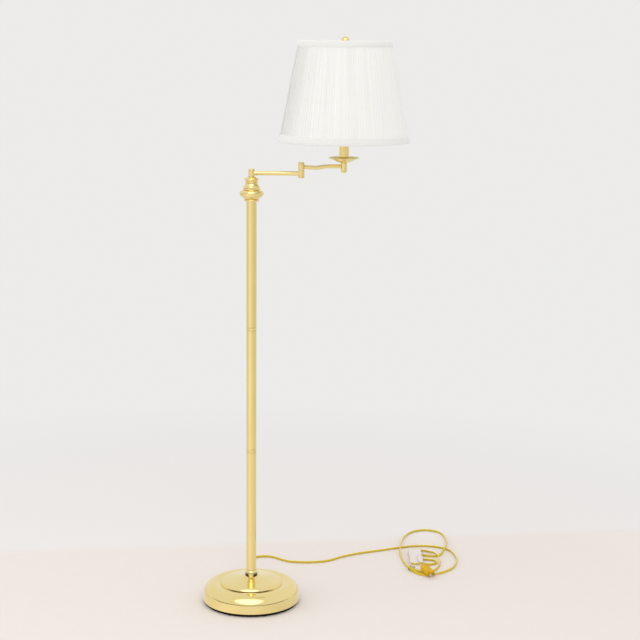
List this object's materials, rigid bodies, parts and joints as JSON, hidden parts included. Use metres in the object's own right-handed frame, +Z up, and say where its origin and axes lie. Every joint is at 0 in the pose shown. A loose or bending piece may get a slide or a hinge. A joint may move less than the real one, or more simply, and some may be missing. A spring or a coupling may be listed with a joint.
{
  "type": "floor lamp",
  "caption": "Free-standing brass floor lamp with a two-part swing arm, a candle tube with a drip pan and a tapered pleated shade on a harp.",
  "frame": {"origin": "on the floor, on the axis of the column", "axes": "+Z up along the column, +X along the arms with both stretched out, the cord leaving the back of the base along +Y"},
  "size_m": [0.6926, 0.7577, 1.4525],
  "materials": {
    "polished_brass": "polished",
    "black_rubber": "matte",
    "cast_iron": "painted black",
    "zinc_steel": "satin",
    "nylon": "satin",
    "gold_cord": "translucent gold",
    "dark_phenolic": "glossy",
    "insulating_card": "matte",
    "brass_screw_shell": "satin",
    "bulb_glass": "frosted",
    "pleated_cloth": "matte",
    "shade_lining": "matte"
  },
  "bodies": {
    "root": {"floor_ring": "black_rubber", "base_weight": "cast_iron", "base_shell": "polished_brass", "base_nipple": "zinc_steel", "base_nut": "zinc_steel", "base_neck": "polished_brass", "pole_lower": "polished_brass", "pole_coupling_lower": "polished_brass", "pole_middle": "polished_brass", "pole_coupling_upper": "polished_brass", "pole_upper": "polished_brass", "cap_seat_ring": "polished_brass", "cap_bowl": "polished_brass", "cap_bell": "polished_brass", "cap_top_plate": "polished_brass", "column_wire": "gold_cord", "swivel_stud": "polished_brass", "swivel_washer": "nylon", "pivot_cap": "polished_brass", "cord_bushing": "gold_cord", "cord_run": "gold_cord", "cord_hank": "gold_cord", "plug_body": "gold_cord", "plug_prongs": "zinc_steel"},
    "arm_1": {"arm_1_knuckle": "polished_brass", "arm_1_rod": "polished_brass", "arm_1_wire": "gold_cord", "elbow_lower_knuckle": "polished_brass", "elbow_lower_cap": "polished_brass", "elbow_stud": "zinc_steel", "elbow_washer": "nylon", "elbow_upper_cap": "polished_brass"},
    "arm_2": {"elbow_upper_knuckle": "polished_brass", "arm_2_rod": "polished_brass", "arm_2_wire": "gold_cord", "end_knuckle": "polished_brass", "end_cap": "polished_brass", "socket_nipple": "zinc_steel", "drip_pan": "polished_brass", "candle_tube": "polished_brass", "harp_saddle": "polished_brass", "socket_cap": "polished_brass", "socket_core": "dark_phenolic", "socket_screw_shell": "brass_screw_shell", "socket_insulator": "insulating_card", "socket_shell": "polished_brass", "switch_bushing": "zinc_steel", "bulb_base": "zinc_steel", "bulb_glass": "bulb_glass", "harp": "polished_brass", "finial": "polished_brass"},
    "shade": {"shade_spider": "polished_brass", "shade_bottom_ring": "zinc_steel", "shade_liner": "shade_lining", "shade_pleats": "pleated_cloth", "shade_top_trim": "pleated_cloth", "shade_bottom_trim": "pleated_cloth"},
    "switch_knob": {"switch_knob": "dark_phenolic"},
    "ferrule_left": {"harp_ferrule_left": "polished_brass"},
    "ferrule_right": {"harp_ferrule_right": "polished_brass"}
  },
  "joints": [
    {"name": "column_swivel", "type": "hinge", "parent": "root", "child": "arm_1", "pos_m": [0, 0, 1.1153], "axis": [0, 0, 1], "range_deg": [-150, 150]},
    {"name": "elbow_swivel", "type": "hinge", "parent": "arm_1", "child": "arm_2", "pos_m": [0.1235, 0, 1.125], "axis": [0, 0, 1], "range_deg": [-160, 160]},
    {"name": "shade_turn", "type": "hinge", "parent": "arm_2", "child": "shade", "pos_m": [0.229, 0, 1.4256], "axis": [0, 0, 1], "continuous": true},
    {"name": "switch_turn", "type": "hinge", "parent": "arm_2", "child": "switch_knob", "pos_m": [0.229, -0.015, 1.21385], "axis": [0, -1, 0], "continuous": true},
    {"name": "ferrule_left_slide", "type": "slide", "parent": "arm_2", "child": "ferrule_left", "axis": [0, 0, 1], "range_m": [0, 0.011]},
    {"name": "ferrule_right_slide", "type": "slide", "parent": "arm_2", "child": "ferrule_right", "axis": [0, 0, 1], "range_m": [0, 0.011]}
  ]
}
